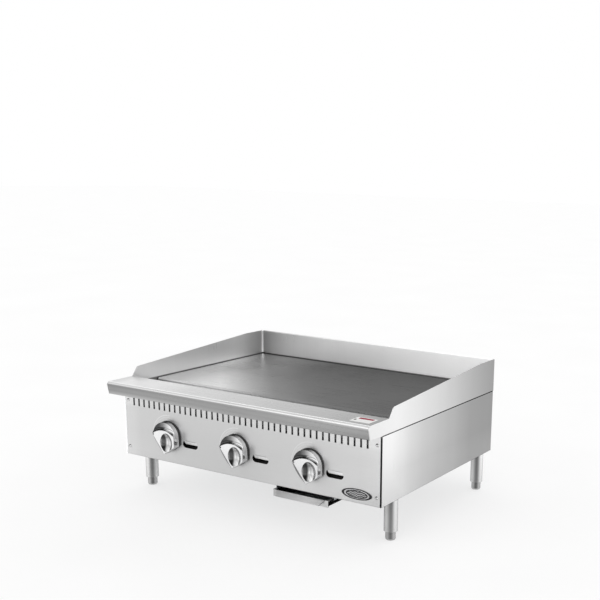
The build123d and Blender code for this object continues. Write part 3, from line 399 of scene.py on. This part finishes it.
# galvanised sheet: soft spangle cells
g = Mat("galvanised_sheet")
cells = g.t.nodes.new("ShaderNodeTexVoronoi")
cells.inputs["Scale"].default_value = 140.0
g.link(g.obj, cells.inputs["Vector"])
g.set(Base_Color=g.ramp(cells.outputs["Distance"], [(0.0, (0.44, 0.46, 0.47)), (0.6, (0.56, 0.58, 0.6))]),
      Metallic=0.95, Roughness=g.remap(g.noise((40, 40, 40)), 0.3, 0.7, 0.38, 0.55))
galvanised = g.m

# black heat paint, slightly dusty
f = Mat("heat_paint")
f.set(Base_Color=f.ramp(f.noise((60, 60, 60), detail=5.0), [(0.3, (0.012, 0.012, 0.013)), (0.75, (0.05, 0.048, 0.046))]),
      Roughness=f.remap(f.noise((30, 30, 30)), 0.3, 0.7, 0.5, 0.75), Normal=f.bump(f.noise((500, 500, 500)), 0.25, 0.0004))
heat_paint = f.m

# rough casting with a little rust
c = Mat("burner_casting")
rust = c.remap(c.noise((22, 22, 22), detail=6.0), 0.52, 0.7, 0.0, 1.0)
c.set(Base_Color=c.mix(rust, (0.055, 0.05, 0.048), (0.14, 0.075, 0.045)), Metallic=0.5,
      Roughness=c.remap(rust, 0, 1, 0.6, 0.85), Normal=c.bump(c.noise((350, 350, 350), detail=5.0), 0.5, 0.0008))
casting = c.m

b = Mat("machined_brass")
b.set(Base_Color=b.ramp(b.noise((25, 25, 25), detail=4.0), [(0.3, (0.52, 0.36, 0.13)), (0.7, (0.72, 0.52, 0.22))]),
      Metallic=1.0, Roughness=b.remap(b.noise((200, 200, 200)), 0.3, 0.7, 0.22, 0.4))
brass = b.m

p = Mat("pilot_steel")
p.set(Base_Color=p.ramp(p.noise((90, 90, 90), detail=4.0), [(0.3, (0.30, 0.28, 0.26)), (0.7, (0.45, 0.43, 0.4))]),
      Metallic=1.0, Roughness=p.remap(p.noise((120, 120, 120)), 0.3, 0.7, 0.35, 0.55))
pilot_steel = p.m

# chrome knob casting: painted reflections, dark where it faces the dim ceiling, painted streaks in the finger scoop,
# painted light on the open right side and rim, and a small black dot near the pointer
k = Mat("knob_chrome")
mark, left_skirt = 0.0, 0.0
for kx in (-0.283, -0.0275, 0.228):
    dx, dz = k.math("SUBTRACT", k.x, kx - 0.0345), k.math("SUBTRACT", k.z, 0.2055)
    r2 = k.math("ADD", k.math("MULTIPLY", dx, dx), k.math("MULTIPLY", dz, dz))
    mark = k.math("MAXIMUM", mark, k.math("LESS_THAN", r2, 0.0019 ** 2))
mark = k.math("MULTIPLY", mark, k.math("LESS_THAN", k.y, -0.334))
nx, ny, nz = world_normal(k, 0.0016)
# painted reflections set by the way each face turns
from_left = k.ramp(k.remap(nx, -1.0, 1.0, 0.0, 1.0),
                   [(0.0, 0.5), (0.1, 0.85), (0.3, 0.95), (0.44, 1.0), (0.47, 0.5), (0.49, 1.0), (0.515, 1.0), (0.54, 0.4),
                    (0.565, 1.0), (0.62, 0.9), (0.7, 0.12), (0.84, 0.2), (0.9, 0.75), (1.0, 0.85)])
from_above = k.ramp(k.remap(nz, -1.0, 1.0, 0.0, 1.0),
                    [(0.0, 0.4), (0.27, 0.45), (0.35, 0.55), (0.42, 1.0), (0.5, 1.0), (0.6, 0.85), (0.66, 0.1), (0.85, 0.04), (1.0, 0.12)])
# skirt: painted shade, darkest by the pointer, painted lighter round to the right
skirt_x = 0.0
for kx in (-0.283, -0.0275, 0.228):
    here = inside(k, k.math("SUBTRACT", k.x, kx), -0.06, 0.06)
    skirt_x = k.math("ADD", skirt_x, k.math("MULTIPLY", here, k.math("SUBTRACT", k.x, kx)))
skirt = k.ramp(k.remap(skirt_x, -0.045, 0.045, 0.0, 1.0),
               [(0.0, 0.06), (0.3, 0.1), (0.46, 0.28), (0.6, 0.6), (0.75, 0.95), (1.0, 0.9)])
on_skirt = k.math("MULTIPLY", k.math("GREATER_THAN", depth_of(k), -0.0196), k.math("GREATER_THAN", k.z, 0.199))
kz = k.math("SUBTRACT", k.z, 0.199)
off = k.math("SQRT", k.math("ADD", k.math("MULTIPLY", skirt_x, skirt_x), k.math("MULTIPLY", kz, kz)))
# painted light on the open right side of the face and on the right rim
open_right = k.math("MULTIPLY", k.remap(skirt_x, 0.002, 0.014, 0.0, 0.85), k.math("LESS_THAN", off, 0.0415))
from_above = k.mix(open_right, from_above, (1.0, 1.0, 1.0))
rim_right = k.math("MULTIPLY", k.remap(skirt_x, 0.0, 0.018, 0.1, 0.9), k.math("GREATER_THAN", off, 0.0415))
from_above = k.mix(rim_right, from_above, (1.0, 1.0, 1.0))
from_left = k.mix(k.math("MULTIPLY", rim_right, k.math("GREATER_THAN", nx, 0.0)), from_left, (1.0, 1.0, 1.0))
tone = k.mix(1.0, k.mix(1.0, from_left, from_above, "MULTIPLY"), k.mix(on_skirt, (1.0, 1.0, 1.0), skirt), "MULTIPLY")
tone = k.mix(1.0, tone, k.ramp(k.noise((40, 40, 40)), [(0.3, (0.86, 0.86, 0.87)), (0.7, (0.93, 0.93, 0.93))]), "MULTIPLY")
k.set(Base_Color=k.mix(mark, tone, (0.01, 0.01, 0.01)), Metallic=k.math("MULTIPLY", k.math("SUBTRACT", 1.0, mark), 0.78), Specular_Tint=tone,
      Roughness=k.math("ADD", k.remap(k.noise((60, 60, 60)), 0.3, 0.7, 0.06, 0.11), k.math("MULTIPLY", mark, 0.4)),
      Normal=k.bump(k.noise((90, 90, 90)), 0.04, 0.001, k.bevel(0.0024, 8)))
chrome = k.m

z = Mat("bezel_black")
z.set(Base_Color=z.ramp(z.noise((300, 300, 300)), [(0.3, (0.012, 0.012, 0.012)), (0.7, (0.03, 0.03, 0.03))]),
      Roughness=z.remap(z.noise((80, 80, 80)), 0.3, 0.7, 0.35, 0.5), Normal=z.bump(z.noise((900, 900, 900)), 0.1, 0.0002))
bezel = z.m

# nameplate: black and silver rings round a field of heat waves, no lettering
n = Mat("nameplate_enamel")
ex, ez = n.math("SUBTRACT", n.x, 0.380), n.math("SUBTRACT", n.z, 0.142)
e = n.math("SQRT", n.math("ADD", n.math("POWER", n.math("DIVIDE", ex, 0.0475), 2.0), n.math("POWER", n.math("DIVIDE", ez, 0.015), 2.0)))
wave = n.math("ADD", n.math("MULTIPLY", ez, 1.0), n.math("MULTIPLY", n.math("SINE", n.math("MULTIPLY", ex, 330.0)), 0.0013))
wave = n.math("GREATER_THAN", n.math("FRACT", n.math("DIVIDE", n.math("ADD", wave, 0.0312), 0.0052)), 0.5)
wave = n.math("MULTIPLY", wave, n.math("LESS_THAN", n.math("ADD", e, n.math("MULTIPLY", n.math("ABSOLUTE", ez), 14.0)), 0.66))
silver = n.math("MAXIMUM", wave, inside(n, e, 0.73, 0.84))
n.set(Base_Color=n.mix(silver, (0.02, 0.02, 0.022), (0.78, 0.78, 0.79)), Metallic=silver,
      Roughness=n.math("ADD", n.remap(n.noise((300, 300, 300)), 0.3, 0.7, 0.2, 0.32), 0.0))
plate_enamel = n.m

# printed film label: white with one dark red block and a small grey square, no lettering
s = Mat("shelf_film")
lx, ly = s.math("SUBTRACT", s.x, 0.4095), s.math("SUBTRACT", s.y, fy(-0.016))


band = s.math("MULTIPLY", inside(s, lx, -0.0215, 0.0235), inside(s, ly, 0.0065, 0.0195))
dot = s.math("MULTIPLY", inside(s, lx, -0.0265, -0.0205), inside(s, ly, -0.009, 0.001))
paper = s.ramp(s.noise((120, 120, 120)), [(0.3, (0.80, 0.80, 0.79)), (0.7, (0.86, 0.86, 0.85))])
s.set(Base_Color=s.mix(dot, s.mix(band, paper, (0.30, 0.004, 0.03)), (0.03, 0.03, 0.03)),
      Roughness=s.remap(s.noise((60, 60, 60)), 0.3, 0.7, 0.5, 0.65), Specular_IOR_Level=0.12)
film = s.m

use(panel_steel, "control_panel")
use(side_steel, "side_panel_left", "side_panel_right")
use(splash_right_steel, "side_splash_right")
use(splash_left_steel, "side_splash_left")
use(rear_steel, "rear_splash")
use(shelf_steel, "front_shelf")
use(back_steel, "rear_panel")
use(plate_steel, "griddle_plate")
use(trough_steel, "grease_trough")
use(drawer_steel, "grease_drawer")
use(galvanised, "bottom_pan", "panel_brackets", "base_channel_left", "base_channel_right", "heat_shield",
    "burner_rails", "drawer_rail_left", "drawer_rail_right", "manifold_brackets", "grease_chute")
use(heat_paint, "plate_frame", "gas_manifold", "manifold_plugs", "gas_inlet_pipe")
use(casting, "burner_left", "burner_centre", "burner_right")
use(brass, "gas_valve_left", "gas_valve_centre", "gas_valve_right", "orifices", "pilot_valves")
use(pilot_steel, "pilot_burner_left", "pilot_burner_centre", "pilot_burner_right",
    "air_shutter_left", "air_shutter_centre", "air_shutter_right")
use(chrome, "knob_left", "knob_centre", "knob_right")
use(stem_steel, "valve_stem_left", "valve_stem_centre", "valve_stem_right")
use(bezel, "knob_bezels")
for a in ("front", "rear"):
    for e in ("left", "right"):
        use(leg_tube, "leg_sleeve_%s_%s" % (a, e))
        use(foot_steel, "foot_%s_%s" % (a, e))
use(screw_steel, "leg_nuts", "panel_screws", "rear_screws")
use(plate_enamel, "nameplate")
use(film, "shelf_label")

# ------------------------------------------------------------------ floor, light, camera
bpy.ops.mesh.primitive_plane_add(size=60, location=(0, 0, 0))
floor = bpy.context.object
floor.name = "floor"
fl = Mat("pale_floor")


def angle_mask(m, a, centre, half, soft):
    """1 within half of a compass angle, falling to 0 over soft; degrees, 0 at +X and 90 at +Y."""
    d = m.math("ABSOLUTE", m.math("SUBTRACT", m.math("PINGPONG", m.math("ADD", m.math("SUBTRACT", a, math.radians(centre)), 4 * math.pi), math.pi), 0.0))
    return m.remap(d, math.radians(half), math.radians(half + soft), 1.0, 0.0, smooth=True)


# a lit table: near white to the eye, with painted darker zones, a painted shadow round the object among them, that
# only polished metal picks up
az = fl.math("ARCTAN2", fl.y, fl.x)
away = fl.math("SQRT", fl.math("ADD", fl.math("MULTIPLY", fl.x, fl.x), fl.math("MULTIPLY", fl.y, fl.y)))
# painted shadow round the object, seen only in reflections
near = fl.remap(away, 0.55, 1.1, 0.5, 1.0, smooth=True)
seen = fl.math("SUBTRACT", 1.0, fl.math("MULTIPLY", angle_mask(fl, az, -54, 14, 22), 0.78))
seen = fl.math("MULTIPLY", seen, fl.math("SUBTRACT", 1.0, fl.math("MULTIPLY", angle_mask(fl, az, 88, 12, 20), 0.6)))
seen = fl.math("MULTIPLY", seen, fl.math("SUBTRACT", 1.0, fl.math("MULTIPLY", angle_mask(fl, az, 160, 8, 16), 0.5)))
seen = fl.math("MULTIPLY", seen, near)
path = fl.t.nodes.new("ShaderNodeLightPath")
glow = fl.math("MULTIPLY", fl.mix(path.outputs["Is Glossy Ray"], 1.0, seen), 0.66)
fl.set(Base_Color=fl.ramp(fl.noise((2, 2, 2)), [(0.3, (0.34, 0.34, 0.34)), (0.7, (0.36, 0.36, 0.36))]), Roughness=0.9)
fl.p.inputs["Specular IOR Level"].default_value = 0.0
fl.put(fl.p.inputs["Emission Color"], (1.0, 1.0, 1.0))
fl.put(fl.p.inputs["Emission Strength"], glow)
floor.data.materials.append(fl.m)

# studio: a bright band of soft boxes all round, a dim ceiling and a dim strip at the camera's height
world = bpy.data.worlds.new("studio")
bpy.context.scene.world = world
world.use_nodes = True
w = world.node_tree
w.nodes.clear()
wout = w.nodes.new("ShaderNodeOutputWorld")
bg = w.nodes.new("ShaderNodeBackground")
w.links.new(bg.outputs[0], wout.inputs[0])
geo = w.nodes.new("ShaderNodeTexCoord")
sepw = w.nodes.new("ShaderNodeSeparateXYZ")
w.links.new(geo.outputs["Generated"], sepw.inputs[0])
rampz = w.nodes.new("ShaderNodeValToRGB")
w.links.new(sepw.outputs[2], rampz.inputs[0])
rz = rampz.color_ramp
for at, v in ((0.0, 0.75), (0.16, 0.8), (0.3, 1.25), (0.62, 1.3), (0.78, 0.45), (1.0, 0.3)):
    el = rz.elements[0] if at == 0.0 else rz.elements.new(at)
    el.position, el.color = at, (v, v, v, 1)
rz.elements.remove(rz.elements[-1])
lp = w.nodes.new("ShaderNodeLightPath")
mixw = w.nodes.new("ShaderNodeMix")
mixw.data_type = "RGBA"
w.links.new(lp.outputs["Is Camera Ray"], mixw.inputs[0])
w.links.new(rampz.outputs[0], mixw.inputs[6])
mixw.inputs[7].default_value = (1.0, 1.0, 1.0, 1)
w.links.new(mixw.outputs[2], bg.inputs[0])
bg.inputs[1].default_value = 1.0

scene = bpy.context.scene
scene.view_settings.view_transform = "Standard"

RIGHT = Vector((0.87542, 0.48259, 0.02724))
DOWN = Vector((0.13277, -0.18589, -0.97356))
AHEAD = Vector((-0.46477, 0.85589, -0.22681))
FOCAL, CX, CY = 977.96, 435.11, 398.31
cam_data = bpy.data.cameras.new("camera")
cam = bpy.data.objects.new("camera", cam_data)
scene.collection.objects.link(cam)
cam.matrix_world = Matrix((
    (RIGHT.x, -DOWN.x, -AHEAD.x, 1.73294),
    (RIGHT.y, -DOWN.y, -AHEAD.y, fy(-2.07168)),
    (RIGHT.z, -DOWN.z, -AHEAD.z, 0.98302),
    (0, 0, 0, 1)))
cam_data.sensor_width = 36.0
cam_data.lens = FOCAL / 600.0 * 36.0
cam_data.clip_start, cam_data.clip_end = 0.05, 100.0


def shift_at_home(path, value):
    """Lens shift that holds only while the camera stands at its home place."""
    d = cam_data.driver_add(path).driver
    d.type = "SCRIPTED"
    v = d.variables.new()
    v.name, v.type = "px", "TRANSFORMS"
    v.targets[0].id = cam
    v.targets[0].transform_type = "LOC_X"
    v.targets[0].transform_space = "WORLD_SPACE"
    d.expression = "%.6f if abs(px - %.5f) < 0.001 else 0.0" % (value, 1.73294)


shift_at_home("shift_x", (300.0 - CX) / 600.0)
shift_at_home("shift_y", (CY - 300.0) / 600.0)
scene.camera = cam
